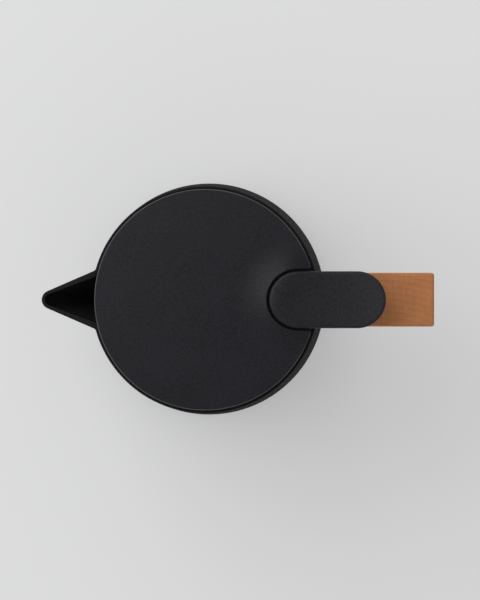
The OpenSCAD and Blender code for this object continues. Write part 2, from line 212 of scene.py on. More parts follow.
def arc_rows(r, z, rad, from_deg, to_deg, shape=None, steps=4):
    """Rows along an arc in the profile's plane, about a centre (r, z)."""
    rows = []
    for k in range(steps + 1):
        t = math.radians(from_deg + (to_deg - from_deg) * k / steps)
        row = (r + rad * math.cos(t), z + rad * math.sin(t))
        rows.append(row + ((shape,) if shape else ()))
    return rows


def smooth_step(t):
    """Eases a share from 0 to 1 at both ends."""
    return t * t * (3 - 2 * t)


def smooth_max(a, b, k):
    """The larger of two numbers, blended over a width k."""
    h = max(k - abs(a - b), 0.0) / k
    return max(a, b) + h * h * k / 4


# ---------------------------------------------------------------- materials
def rgba(colour, gain=1.0):
    return tuple(c * gain for c in colour) + (1,)


class Nodes:
    """A small builder that adds nodes to a Principled material."""

    def __init__(self, mat):
        self.mat = mat
        self.tree = mat.node_tree
        self.bsdf = self.tree.nodes["Principled BSDF"]
        self.coord = self.tree.nodes.new("ShaderNodeTexCoord").outputs["Object"]

    @classmethod
    def new(cls, name):
        mat = bpy.data.materials.new(name)
        mat.use_nodes = True
        return cls(mat)

    def set(self, **values):
        for key, value in values.items():
            self.bsdf.inputs[key.replace("_", " ")].default_value = value

    def link(self, out, socket):
        self.tree.links.new(out, self.bsdf.inputs[socket])

    def add(self, kind, inputs=None, **props):
        node = self.tree.nodes.new(kind)
        for key, value in props.items():
            setattr(node, key, value)
        for key, value in (inputs or {}).items():
            if isinstance(value, bpy.types.NodeSocket):
                self.tree.links.new(value, node.inputs[key])
            else:
                node.inputs[key].default_value = value
        return node

    def noise(self, scale, detail, rough, vector=None):
        node = self.add("ShaderNodeTexNoise", {
            "Vector": vector or self.coord, "Scale": scale, "Detail": detail, "Roughness": rough})
        return node.outputs["Fac"]

    def ramp(self, fac, stops):
        node = self.add("ShaderNodeValToRGB", {"Fac": fac})
        for i, (pos, level) in enumerate(stops):
            el = node.color_ramp.elements[i] if i < 2 else node.color_ramp.elements.new(pos)
            el.position = pos
            el.color = (level, level, level, 1)
        return node.outputs["Color"]

    def span(self, fac, lo, hi, to_lo, to_hi):
        node = self.add("ShaderNodeMapRange", {
            "Value": fac, "From Min": lo, "From Max": hi, "To Min": to_lo, "To Max": to_hi})
        return node.outputs["Result"]

    def bump(self, height, strength, distance, normal=None):
        inputs = {"Height": height, "Strength": strength, "Distance": distance}
        if normal:
            inputs["Normal"] = normal
        return self.add("ShaderNodeBump", inputs).outputs["Normal"]

    def mix(self, fac, a, b):
        node = self.add("ShaderNodeMix", data_type="RGBA")
        for key, value in (("Factor_Float", fac), ("A_Color", a), ("B_Color", b)):
            socket = next(s for s in node.inputs if s.identifier == key)
            if isinstance(value, bpy.types.NodeSocket):
                self.tree.links.new(value, socket)
            else:
                socket.default_value = value
        return next(s for s in node.outputs if s.identifier == "Result_Color")

    def math(self, op, a, b=0.0):
        return self.add("ShaderNodeMath", {0: a, 1: b}, operation=op).outputs[0]

    def xyz(self):
        """The place of a point on the surface, axis by axis."""
        return self.add("ShaderNodeSeparateXYZ", {"Vector": self.coord}).outputs

    def distance(self, x, y):
        """How far (x, y) is from (0, 0)."""
        return self.math("SQRT", self.math("ADD", self.math("MULTIPLY", x, x), self.math("MULTIPLY", y, y)))


# The colour of a painted highlight along the lid's eased rim, where the edge would catch the light.
RIM_HIGHLIGHT_COLOUR = (0.085, 0.085, 0.09)


def coating(name, colour, rough, grain_scale, grain, gloss=0.16, contrast=0.16, rim=None):
    """A matt coating with a fine pebbled grain, slightly uneven in shade and gloss. rim is the
    (lowest radius, lowest height, highest height) of a round edge that gets a lighter colour, a painted
    highlight."""
    m = Nodes.new(name)
    fine = m.noise(grain_scale, 3.0, 0.6)
    cloud = m.noise(60.0, 3.0, 0.55)
    light = rgba(colour, 1 + contrast)
    speck = m.mix(m.span(fine, 0.35, 0.65, 0.0, 1.0), rgba(colour, 1 - contrast), light)
    shade = m.mix(m.span(cloud, 0.3, 0.7, 0.0, 0.35), speck, light)
    if rim:
        radius, low, high = rim
        x, y, z = m.xyz()
        outer = m.span(m.distance(x, y), radius, radius + 0.15 * MM, 0.0, 1.0)
        band = m.math("MULTIPLY", m.math("GREATER_THAN", z, low), m.math("LESS_THAN", z, high))
        # Painted highlight: the rim's band is lightened, patchy along its length.
        painted_highlight = m.math("MULTIPLY", m.math("MULTIPLY", outer, band), m.span(cloud, 0.25, 0.6, 0.65, 1.0))
        shade = m.mix(painted_highlight, shade, rgba(RIM_HIGHLIGHT_COLOUR))
    m.link(shade, "Base Color")
    m.link(m.span(cloud, 0.3, 0.7, rough - 0.04, rough + 0.05), "Roughness")
    m.link(m.bump(fine, grain, 0.12 * MM), "Normal")
    m.set(Specular_IOR_Level=gloss)
    return m.mat


def bare_inside(mat, colour, rough):
    """Leaves the metal bare above the shoulder and on the inner faces, where the coating stops."""
    m = Nodes(mat)
    x, y, z = m.xyz()
    dist = m.distance(x, y)
    skin = m.math("SUBTRACT", (BASE_R - WALL / 2) * MM, m.math("MULTIPLY", z, CONE))
    inside = m.math("MULTIPLY", m.math("LESS_THAN", dist, skin), m.math("GREATER_THAN", z, WALL / 2 * MM))
    bare = m.math("MAXIMUM", inside, m.math("GREATER_THAN", z, (SEAM_Z + 0.05) * MM))
    cloud = m.noise(90.0, 3.0, 0.6)
    alloy = m.mix(m.span(cloud, 0.3, 0.75, 0.0, 1.0), rgba(colour), rgba(colour, 0.8))
    coated = m.bsdf.inputs["Base Color"].links[0].from_socket
    m.link(m.mix(bare, coated, alloy), "Base Color")
    coated_rough = m.bsdf.inputs["Roughness"].links[0].from_socket
    kept = m.math("MULTIPLY", coated_rough, m.math("SUBTRACT", 1.0, bare))
    m.link(m.math("ADD", kept, m.math("MULTIPLY", bare, rough)), "Roughness")
    m.link(bare, "Metallic")
    return mat


def metal(name, colour, rough):
    """Bare metal with a fine even grain, slightly uneven in shade and gloss."""
    m = Nodes.new(name)
    m.set(Metallic=1.0)
    grain = m.noise(900.0, 2.0, 0.6)
    cloud = m.noise(90.0, 3.0, 0.6)
    m.link(m.mix(m.span(cloud, 0.3, 0.75, 0.0, 1.0), rgba(colour), rgba(colour, 0.82)), "Base Color")
    m.link(m.span(cloud, 0.3, 0.7, rough - 0.05, rough + 0.08), "Roughness")
    m.link(m.bump(grain, 0.25, 0.04 * MM), "Normal")
    return m.mat


def silicone(name, colour):
    """Soft translucent rubber, slightly uneven in shade."""
    m = Nodes.new(name)
    cloud = m.noise(120.0, 2.0, 0.5)
    m.link(m.mix(m.span(cloud, 0.3, 0.7, 0.0, 1.0), rgba(colour), rgba(colour, 0.88)), "Base Color")
    m.link(m.bump(m.noise(1500.0, 2.0, 0.5), 0.15, 0.05 * MM), "Normal")
    m.set(Roughness=0.55, Subsurface_Weight=0.08, Subsurface_Scale=2 * MM)
    return m.mat


WOOD_HEART = (0.062, -0.085)    # where the growth rings have their centre
RINGS_PER_M = 420.0
WOOD_PALE = (0.56, 0.230, 0.082)
WOOD_WARM = (0.475, 0.174, 0.058)
WOOD_DEEP = (0.30, 0.092, 0.032)
WOOD_RAY = (0.60, 0.29, 0.125)


def wood(name):
    """Close-grained hardwood with its growth rings round a vertical axis, so its ends show arcs."""
    m = Nodes.new(name)
    x, y, z = m.xyz()
    wander = m.noise(22.0, 2.0, 0.5)
    dist = m.distance(m.math("SUBTRACT", x, WOOD_HEART[0]), m.math("SUBTRACT", y, WOOD_HEART[1]))
    dist = m.math("ADD", dist, m.math("MULTIPLY", wander, 6 * MM))
    dist = m.math("ADD", dist, m.math("MULTIPLY", z, 0.012))
    ring = m.math("FRACT", m.math("MULTIPLY", dist, RINGS_PER_M))
    band = m.ramp(ring, [(0.0, 0.25), (1.0, 0.0), (0.72, 0.55), (0.9, 1.0)])
    stretch = m.add("ShaderNodeMapping", {"Vector": m.coord, "Scale": (1.0, 1.0, 0.06)}).outputs[0]
    fibre = m.noise(1500.0, 3.0, 0.6, stretch)
    streak = m.noise(180.0, 4.0, 0.6, stretch)
    base = m.mix(m.span(streak, 0.3, 0.7, 0.0, 0.8), rgba(WOOD_PALE), rgba(WOOD_WARM))
    base = m.mix(m.math("MULTIPLY", band, 0.42), base, rgba(WOOD_DEEP))
    sheet = m.add("ShaderNodeMapping", {"Vector": m.coord, "Scale": (1.0, 0.12, 0.12)}).outputs[0]
    rays = m.noise(1900.0, 2.0, 0.5, sheet)
    base = m.mix(m.span(rays, 0.56, 0.7, 0.0, 0.4), base, rgba(WOOD_RAY))
    pores = m.span(fibre, 0.60, 0.74, 0.0, 0.6)
    m.link(m.mix(pores, base, rgba(WOOD_DEEP)), "Base Color")
    m.link(m.span(streak, 0.3, 0.7, 0.48, 0.6), "Roughness")
    fibre_bump = m.bump(fibre, 0.35, 0.1 * MM)
    m.link(m.bump(band, 0.12, 0.1 * MM, fibre_bump), "Normal")
    m.set(Specular_IOR_Level=0.35)
    return m.mat


BODY_LOOK = {"colour": (0.0160, 0.0160, 0.0166), "rough": 0.78, "grain_scale": 1700.0, "grain": 0.8,
             "gloss": 0.03, "contrast": 0.4}
BODY_COAT = coating("body_coating", **BODY_LOOK)
BOILER_COAT = bare_inside(coating("boiler_coating", **BODY_LOOK), (0.60, 0.60, 0.61), 0.42)
# The band of the lid's edge that gets the painted highlight.
LID_RIM = ((LID_R - 0.42) * MM, (LID_EDGE_Z - 0.35) * MM, LID_EDGE_Z * MM)
LID_COAT = coating("lid_coating", (0.0097, 0.0094, 0.0132), 0.43, 1350.0, 0.85, gloss=0.23,
                   contrast=0.5, rim=LID_RIM)
LEVER_COAT = coating("lever_coating", (0.0094, 0.0092, 0.0124), 0.43, 1250.0, 0.95, gloss=0.25,
                     contrast=0.6)
ALUMINIUM = metal("bare_aluminium", (0.62, 0.62, 0.63), 0.36)
STEEL = metal("plain_steel", (0.58, 0.58, 0.59), 0.28)
BLACK_STEEL = coating("black_steel", (0.02, 0.02, 0.021), 0.38, 3000.0, 0.15)
BRASS = metal("machined_brass", (0.66, 0.45, 0.17), 0.30)
SEAL = silicone("seal_silicone", (0.62, 0.60, 0.53))
WOOD = wood("handle_wood")

NODE_MATERIALS = {
    "boiler": BOILER_COAT, "valve_body": BRASS, "valve_washer": SEAL, "valve_plunger": STEEL,
    "valve_spring": STEEL, "valve_cap": BRASS, "funnel": ALUMINIUM, "funnel_plate": STEEL,
    "gasket": SEAL, "filter_plate": STEEL, "collector": BODY_COAT, "spout": BODY_COAT,
    "riser_column": ALUMINIUM, "handle_bracket": BODY_COAT, "bracket_screws": STEEL,
    "handle_grip": WOOD, "handle_screws": BLACK_STEEL, "handle_nuts": BLACK_STEEL,
    "lid": LID_COAT, "lid_lever": LEVER_COAT, "lever_screws": STEEL, "hinge_pin": STEEL,
    "hinge_washers": SEAL,
}
for node_name, material in NODE_MATERIALS.items():
    node_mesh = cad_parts[node_name].data
    node_mesh.materials.clear()
    node_mesh.materials.append(material)


# ---------------------------------------------------------------- threads
def ridge(phase):
    """The height of a thread's flank, from 0 at its root to 1 at its crest, over one turn's phase."""
    rise = 1 - 2 * abs(phase - math.floor(phase) - 0.5)
    return min(max((rise - 0.3) / 0.3, 0.0), 1.0)


def thread(root, depth, z0, z1):
    """A row shape for a right-hand thread between two heights that runs out at both ends."""
    def shape(r, z, a):
        fade = min(max(min(z - z0, z1 - z) / 1.2, 0.0), 1.0)
        return root + depth * fade * ridge(z / PITCH + a / (2 * math.pi))
    return shape


# ---------------------------------------------------------------- collector
class Beak:
    """The space inside the spout's outline: seen from above a triangle with a round tip, which keeps its
    size over the straight lip and below that shrinks towards a foot on the wall."""

    def __init__(self, tip_r, half_angle, foot_x, foot_z):
        self.tip_r = tip_r
        self.sine = math.sin(math.radians(half_angle))
        self.foot_x = foot_x
        self.foot_z = foot_z

    def reach(self, a, z):
        """How far from the pot's axis the outline stands at an angle from -X."""
        t = (z - self.foot_z) / (RIM_Z - SPOUT_LIP - self.foot_z)
        t = t if t < 0.9 else 1.0 - 0.1 * math.exp(-(t - 0.9) / 0.1)
        s = abs(math.atan2(math.sin(a), math.cos(a)))
        if t <= 0 or s > math.radians(60):
            return 0.0
        centre = self.foot_x + (SPOUT_TIP_X - self.foot_x) * t
        rad = self.tip_r * t
        cosine = math.sqrt(1 - self.sine ** 2)
        tangent = math.atan2(rad * cosine, centre + rad * self.sine)
        if s < tangent:
            return centre * math.cos(s) + math.sqrt(max(rad ** 2 - (centre * math.sin(s)) ** 2, 0.0))
        return (centre + rad / self.sine) * self.sine / math.sin(s + math.asin(self.sine))


OUTER_BEAK = Beak(SPOUT_TIP_R, 23.5, outer_r(SPOUT_FOOT_Z) - 1.0, SPOUT_FOOT_Z)
INNER_BEAK = Beak(SPOUT_TIP_R - 1.3, 20.2, outer_r(SPOUT_FOOT_Z + 12) - 3.8, SPOUT_FOOT_Z + 12)


def wall_shape(r, z, a):
    """The outer wall: the cone and the spout blended by a small fillet."""
    inset = outer_r(z) - r
    return smooth_max(outer_r(z), OUTER_BEAK.reach(a, z), 0.7) - inset


def lip_shape(r, z, a):
    """The rim's inner edge: the lid's rebate, cut through by the spout's channel."""
    return smooth_max(REBATE_R, INNER_BEAK.reach(a, z), 0.5) + r - REBATE_R


def bore_shape(r, z, a):
    return smooth_max(r, INNER_BEAK.reach(a, z), 0.8)


def build_collector():
    foot_z = SEAM_Z + 0.6
    foot_ease, ease = 0.6, 0.4
    plain_z = SPOUT_FOOT_Z - 2      # below this the wall is a plain cone
    channel_z = SPOUT_FOOT_Z + 8    # and below this the bore is
    floor_z = GASKET_TOP_Z + 5
    hub_z = GASKET_TOP_Z + 13
    root_r = SKIRT_R + THREAD_DEPTH
    skirt_outer_r = SKIRT_R + 4.4
    rows = arc_rows(outer_r(foot_z) - foot_ease, foot_z + foot_ease, foot_ease, -90, -2, wall_shape)
    rows += along(outer_at(SEAM_Z + 1.8), outer_at(plain_z), 8.0, wall_shape)
    rows += along(outer_at(plain_z), outer_at(RIM_Z - ease), 1.1, wall_shape)
    rows += arc_rows(RIM_R - ease, RIM_Z - ease, ease, 0, 90, wall_shape)
    rows += arc_rows(REBATE_R + 0.15, RIM_Z - 0.15, 0.15, 90, 180, lip_shape, 2)
    rows += along((REBATE_R, RIM_Z - 0.4), (REBATE_R, REBATE_Z), 0.8, lip_shape)
    rows += [(REBATE_R, REBATE_Z, lip_shape)]
    rows += along(inner_at(REBATE_Z), inner_at(channel_z), 1.2, bore_shape)
    rows += along(inner_at(channel_z), (inner_r(floor_z), floor_z + 2), 8.0)
    rows += arc_rows(inner_r(floor_z) - 2, floor_z + 2, 2, 0, -80)
    rows += [(HUB_R + 4, hub_z - 4.6), (HUB_R + 1, hub_z - 4), (HUB_R, hub_z - 3)]
    rows += arc_rows(HUB_R - 0.5, hub_z - 0.5, 0.5, 0, 90, None, 3) + [(HUB_BORE_R, hub_z)]
    rows += [(HUB_BORE_R, hub_z - 6), (GASKET_BORE_R, GASKET_TOP_Z + 0.6), (GASKET_BORE_R, GASKET_TOP_Z)]
    rows += [(root_r, GASKET_TOP_Z)]
    thread_top, thread_foot = GASKET_TOP_Z - 3.4, SEAM_Z + 2.6
    rows += along((root_r, thread_top), (root_r, thread_foot), 0.3,
                  thread(root_r, -THREAD_DEPTH, thread_foot, thread_top))
    rows += [(root_r, SEAM_Z + 2.4), (root_r + 0.4, SEAM_Z + 2), (skirt_outer_r - 0.4, SEAM_Z + 2)]
    rows += [(skirt_outer_r, SEAM_Z + 2.4), (skirt_outer_r, GASKET_TOP_Z - 1)]
    rows += [inner_at(GASKET_TOP_Z - 1), (inner_r(SEAM_Z), foot_z)]
    turned("collector_shell", rows, angle_steps(20, 0.55, 1.5), "collector",
           ["collector", "spout"], BODY_COAT)


# ---------------------------------------------------------------- boiler
def boss(face_x, sign):
    """A row shape for the flat round boss of the safety valve on the outer or the inner wall."""
    def shape(r, z, a):
        s = math.atan2(math.sin(a), math.cos(a))
        if abs(s) > math.radians(20):
            return r
        off = math.hypot(r * math.sin(s), z - VALVE_Z)
        t = smooth_step(min(max(BOSS_R + 1.0 - off, 0.0), 1.0))
        flat = face_x / math.cos(s)
        return r + (flat - r) * t if (flat - r) * sign > 0 else r
    return shape


def build_boiler():
    foot_ease, seam_ease, corner_r = 1.6, 0.6, 3
    shoulder_z = SEAM_Z - 8
    root_r = NECK_R - THREAD_DEPTH
    outer_boss = boss(VALVE_FACE, 1)
    inner_boss = boss(VALVE_FACE - BOSS_DEPTH, -1)
    low, high = VALVE_Z - BOSS_ROWS, VALVE_Z + BOSS_ROWS
    rows = [(0.0, 0.0), (30.0, 0.0)]
    rows += arc_rows(outer_r(foot_ease) - foot_ease, foot_ease, foot_ease, -90, -2, None, 6)
    rows += along(outer_at(3), outer_at(low), 7.0)
    rows += along(outer_at(low), outer_at(high), 0.6, outer_boss)
    rows += along(outer_at(high), outer_at(SEAM_Z - 0.8), 7.0)
    rows += arc_rows(outer_r(SEAM_Z) - seam_ease, SEAM_Z - seam_ease, seam_ease, 0, 90)
    rows += [(root_r + 0.5, SEAM_Z), (root_r, SEAM_Z + 0.5)]
    rows += along((root_r, SEAM_Z + 0.8), (root_r, NECK_TOP_Z - 0.8), 0.3,
                  thread(root_r, THREAD_DEPTH, SEAM_Z + 0.8, NECK_TOP_Z - 0.8))
    rows += [(root_r, NECK_TOP_Z - 0.4), (root_r - 0.4, NECK_TOP_Z), (NECK_BORE_R + 0.4, NECK_TOP_Z)]
    rows += [(NECK_BORE_R, NECK_TOP_Z - 0.4), (NECK_BORE_R, SEAM_Z - 2)]
    rows += [(inner_r(shoulder_z) - 3, shoulder_z + 0.7), (inner_r(shoulder_z), shoulder_z - 1)]
    rows += along(inner_at(high), inner_at(low), 0.6, inner_boss)
    rows += [inner_at(low), inner_at(WALL + corner_r)]
    rows += arc_rows(inner_r(WALL) - corner_r, WALL + corner_r, corner_r, 0, -90)
    rows += [(0.0, WALL)]
    turned("boiler_shell", rows, angle_steps(14, 0.6, 1.5), "boiler",
           ["boiler"], BOILER_COAT)


# ---------------------------------------------------------------- valve spring
SPRING_R = 2.3
SPRING_WIRE_R = 0.35
SPRING_TURNS = 4


def build_spring():
    """A coil that rides on the plunger, with its outer end on the cap."""
    low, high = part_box("valve_spring")
    inner_x, outer_x = high[0] / MM - SPRING_WIRE_R, low[0] / MM + SPRING_WIRE_R
    per_turn, sides = 40, 12
    rings = SPRING_TURNS * per_turn
    verts = []
    for i in range(rings + 1):
        turn = 2 * math.pi * i / per_turn
        x = inner_x + (outer_x - inner_x) * i / rings
        for k in range(sides):
            b = 2 * math.pi * k / sides
            r = SPRING_R + SPRING_WIRE_R * math.cos(b)
            verts.append((x + SPRING_WIRE_R * math.sin(b),
                          r * math.cos(turn), VALVE_Z + r * math.sin(turn)))
    faces = [tuple(reversed(range(sides))), tuple(range(rings * sides, (rings + 1) * sides))]
    for i in range(rings):
        for k in range(sides):
            a, b = i * sides + k, i * sides + (k + 1) % sides
            faces.append((a, b, b + sides, a + sides))
    coil = finish_mesh("valve_coil", verts, faces, "valve_plunger", ["valve_spring"], STEEL)
    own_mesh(coil)


# ---------------------------------------------------------------- plates
def signed_distance(points, loop):
    """How far each point lies inside a closed outline, and negative outside it."""
    p = np.asarray(points, float)[:, None, :]
    a = np.asarray(loop, float)
    b = np.roll(a, -1, axis=0)
    ab = (b - a)[None]
    t = np.clip(((p - a) * ab).sum(2) / np.maximum((ab ** 2).sum(2), 1e-12), 0, 1)
    near = np.sqrt((((a + t[..., None] * ab) - p) ** 2).sum(2)).min(1)
    crosses = (a[None, :, 1] > p[..., 1]) != (b[None, :, 1] > p[..., 1])
    rise = np.where(np.abs(ab[..., 1]) < 1e-12, 1e-12, ab[..., 1])
    at = a[None, :, 0] + (p[..., 1] - a[None, :, 1]) * ab[..., 0] / rise
    inside = (crosses & (p[..., 0] < at)).sum(1) % 2 == 1
    return np.where(inside, near, -near)


def inset(loop, distance):
    """The loop's points moved inwards, without those that end up too close to another stretch of it."""
    a = np.asarray(loop, float)
    along_loop = np.roll(a, -1, axis=0) - np.roll(a, 1, axis=0)
    normal = np.stack([-along_loop[:, 1], along_loop[:, 0]], 1)
    normal /= np.linalg.norm(normal, axis=1)[:, None]
    moved = a + normal * distance
    depth = signed_distance(moved, loop)
    return moved[np.abs(depth - distance) < 0.05 * abs(distance) + 0.004]


def plate_face(outline, points, height):
    """Triangulates an outline with extra points inside it. height(points) gives each one's height."""
    flat = [Vector(p) for p in outline] + [Vector(p) for p in points]
    n = len(outline)
    edges = [(i, (i + 1) % n) for i in range(n)]
    xy, _, tris, origin, _, _ = geometry.delaunay_2d_cdt(flat, edges, [], 1, 1e-4)
    xy = np.array([tuple(v) for v in xy])
    place = {old: new for new, olds in enumerate(origin) for old in olds}
    rim = [place[i] for i in range(n)]
    return xy, height(xy), [tuple(t) for t in tris], rim


def plate(name, outline, top, bottom, body, nodes, material, axes=(0, 1, 2)):
    """A closed plate between two faces. top and bottom are (points, height function), and axes says
    which of X, Y and Z the outline's two directions and the height are."""
    xy0, h0, tris0, rim0 = plate_face(outline, top[0], top[1])
    xy1, h1, tris1, rim1 = plate_face(outline, bottom[0], bottom[1])
    shift = len(xy0)
    flat = [(*p, h) for p, h in zip(xy0, h0)] + [(*p, h) for p, h in zip(xy1, h1)]
    verts = []
    for p in flat:
        v = [0.0, 0.0, 0.0]
        for value, axis in zip(p, axes):
            v[axis] = value
        verts.append(tuple(v))
    faces = tris0 + [tuple(shift + i for i in t) for t in tris1]
    n = len(outline)
    for i in range(n):
        j = (i + 1) % n
        faces.append((rim0[i], rim0[j], shift + rim1[j], shift + rim1[i]))
    return finish_mesh(name, verts, faces, body, nodes, material)


def line_points(a, b, step):
    """Points from one place to another, without the last."""
    count = max(1, math.ceil(math.dist(a, b) / step))
    return [(a[0] + (b[0] - a[0]) * k / count, a[1] + (b[1] - a[1]) * k / count) for k in range(count)]


def arc_points(centre, rad, from_deg, to_deg, step):
    """Points along an arc, without the last."""
    count = max(2, math.ceil(abs(math.radians(to_deg - from_deg)) * rad / step))
    out = []
    for k in range(count):
        t = math.radians(from_deg + (to_deg - from_deg) * k / count)
        out.append((centre[0] + rad * math.cos(t), centre[1] + rad * math.sin(t)))
    return out


def rounded_loop(corners, step):
    """An outline of (x, y, radius) corners, anticlockwise, with a true arc at each corner."""
    n = len(corners)
    out = []
    for i, (x, y, rad) in enumerate(corners):
        p = Vector((x, y))
        a = (Vector(corners[i - 1][:2]) - p).normalized()
        b = (Vector(corners[(i + 1) % n][:2]) - p).normalized()
        half = a.angle(b) / 2
        reach = rad / math.tan(half)
        centre = p + (a + b).normalized() * (rad / math.sin(half))
        start, end = p + a * reach - centre, p + b * reach - centre
        t0 = math.atan2(start.y, start.x)
        sweep = math.atan2(start.cross(end), start.dot(end))
        count = max(3, math.ceil(abs(sweep) * rad / 0.25))
        out.append([(centre.x + rad * math.cos(t0 + sweep * k / count),
                     centre.y + rad * math.sin(t0 + sweep * k / count)) for k in range(count + 1)])
    loop = []
    for i, stretch in enumerate(out):
        loop += stretch[:-1]
        loop += line_points(stretch[-1], out[(i + 1) % n][0], step)
    return loop


def rounded_box(x0, rad0, x1, rad1, half, step):
    """An outline across the X axis, with corners of one radius at x0 and of another at x1."""
    return rounded_loop([(x0, -half, rad0), (x1, -half, rad1), (x1, half, rad1), (x0, half, rad0)], step)


def grid_points(loop, step, margin):
    """Staggered points inside an outline, at least a margin from it."""
    a = np.asarray(loop)
    (x0, y0), (x1, y1) = a.min(0), a.max(0)
    rows = np.arange(y0, y1, step * 0.866)
    pts = [(x + (step / 2 if i % 2 else 0), y) for i, y in enumerate(rows) for x in np.arange(x0, x1, step)]
    pts = np.array(pts)
    return pts[signed_distance(pts, loop) > margin]


def eased_edge(depth, rad):
    """How far a rounded edge lies below the face, at a depth inside the outline."""
    d = np.clip(rad - depth, 0, rad)
    return rad - np.sqrt(np.maximum(rad ** 2 - d ** 2, 0))


EDGE_RINGS = (0.04, 0.12, 0.24, 0.38, 0.55, 0.9, 1.5)      # depths, as shares of the edge's radius


def edge_rings(loop, rad):
    """Points that follow an outline inside it, for an edge of a given radius."""
    return np.concatenate([inset(loop, d * rad) for d in EDGE_RINGS])


# ---------------------------------------------------------------- lid
LEVER_START_X = LEVER_X0 + LEVER_R
LEVER_END_X = LEVER_X1 - LEVER_R
NOTCH_R = LEVER_R + NOTCH_GAP


def notch_depth(xy):
    """How far a point lies outside the lever's notch, which runs on past the rim."""
    x = np.minimum(xy[:, 0] - LEVER_START_X, 0)
    return np.hypot(x, xy[:, 1]) - NOTCH_R


def lid_outline_with_notch(corner):
    """The outline of the lid's upper face: the rim and the notch, joined by eased corners."""
    rim_deg = math.degrees(math.asin(NOTCH_R / LID_R))
    rim_x = math.sqrt(LID_R ** 2 - NOTCH_R ** 2)
    trim_deg = math.degrees(corner / LID_R)
    tip = (rim_x, NOTCH_R)
    arc_start = (LID_R * math.cos(math.radians(rim_deg + trim_deg)),
                 LID_R * math.sin(math.radians(rim_deg + trim_deg)))
    line_end = (rim_x - corner, NOTCH_R)
    bend = []
    for k in range(6):
        t = k / 6
        bend.append(tuple(line_end[i] * (1 - t) ** 2 + tip[i] * 2 * t * (1 - t) + arc_start[i] * t * t
                          for i in (0, 1)))
    notch = arc_points((LEVER_START_X, 0), NOTCH_R, 180, 90, 0.5)
    notch += line_points((LEVER_START_X, NOTCH_R), line_end, 0.5) + bend
    mirrored = [(x, -y) for x, y in reversed(notch[1:])]
    rim = arc_points((0, 0), LID_R, rim_deg + trim_deg, 360 - rim_deg - trim_deg, 0.7)
    rim_end = [(arc_start[0], -arc_start[1])]
    return mirrored + notch, rim + rim_end


def lid_surface(xy):
    """The dome of the lid and the swelling that rises to the lever's notch."""
    rho2 = (xy ** 2).sum(1)
    dome = LID_CROWN_Z - (LID_CROWN_Z - LID_EDGE_Z) * rho2 / LID_R ** 2
    near = np.clip(1 - np.maximum(notch_depth(xy), 0) / SWELL_REACH, 0, 1)
    fade = smooth_step(np.clip((SWELL_END_X - xy[:, 0]) / SWELL_FADE, 0, 1))
    return dome + SWELL_H * near ** 2.2 * fade


def build_lid():
    ease, corner, wall_gap = 0.45, 1.0, 0.02
    notch, rim = lid_outline_with_notch(corner)
    face_loop = notch + rim
    outline = arc_points((0, 0), LID_R, 0, 360, 0.7)

    def top_height(xy):
        depth = signed_distance(xy, face_loop)
        raised = lid_surface(xy) - eased_edge(np.maximum(depth, 0), ease)
        floor = np.full(len(xy), LEVER_FLOOR_Z)
        return np.where(depth > -0.5 * wall_gap, raised, floor)

    near_notch = [p for p in notch if p[0] ** 2 + p[1] ** 2 < (LID_R - 0.01) ** 2]
    floor_edge = inset(face_loop, -wall_gap)
    floor_edge = floor_edge[(floor_edge ** 2).sum(1) < (LID_R - 0.05) ** 2]
    rings = edge_rings(face_loop, ease)
    fine = grid_points(face_loop, 1.0, 0.9)
    top_points = np.concatenate([np.array(near_notch), floor_edge, rings, fine])

    skirt_r = LID_R - 1.5
    pad = rounded_box(LEVER_X0 - 3.7, 9, skirt_r + 2, 0.3, NOTCH_R + 2.3, 1.0)

    def bottom_height(xy):
        rho = np.hypot(xy[:, 0], xy[:, 1])
        shell = lid_surface(xy) - LID_SHELL
        padded = signed_distance(xy, pad) > 0
        low = np.where(padded, np.minimum(shell, LEVER_FLOOR_Z - 2.0), shell)
        return np.where(rho > skirt_r, LID_SKIRT_Z + eased_edge(LID_R - rho, 0.3), low)

    step_rings = [arc_points((0, 0), skirt_r + d, 0, 360, 0.9) for d in (-wall_gap, wall_gap)]
    pad_points = np.concatenate([inset(pad, wall_gap), inset(pad, -wall_gap)])
    pad_points = pad_points[(pad_points ** 2).sum(1) < (skirt_r - 0.2) ** 2]
    low_grid = grid_points(arc_points((0, 0), skirt_r, 0, 360, 0.9), 2.0, 0.8)
    low_grid = low_grid[np.abs(signed_distance(low_grid, pad)) > 0.6]
    edge = [arc_points((0, 0), LID_R - d, 0, 360, 0.7) for d in (0.04, 0.12, 0.3, 0.8)]
    bottom_points = np.concatenate([np.array(r) for r in step_rings + edge] + [pad_points, low_grid])
    plate("lid_shell", outline, (top_points, top_height), (bottom_points, bottom_height),
          "lid", ["lid"], LID_COAT)


# ---------------------------------------------------------------- lever
END_DROP = 1.3      # how far the lever's inner end falls away towards its notch
END_REACH = 7.0     # and how far in from the edge that begins


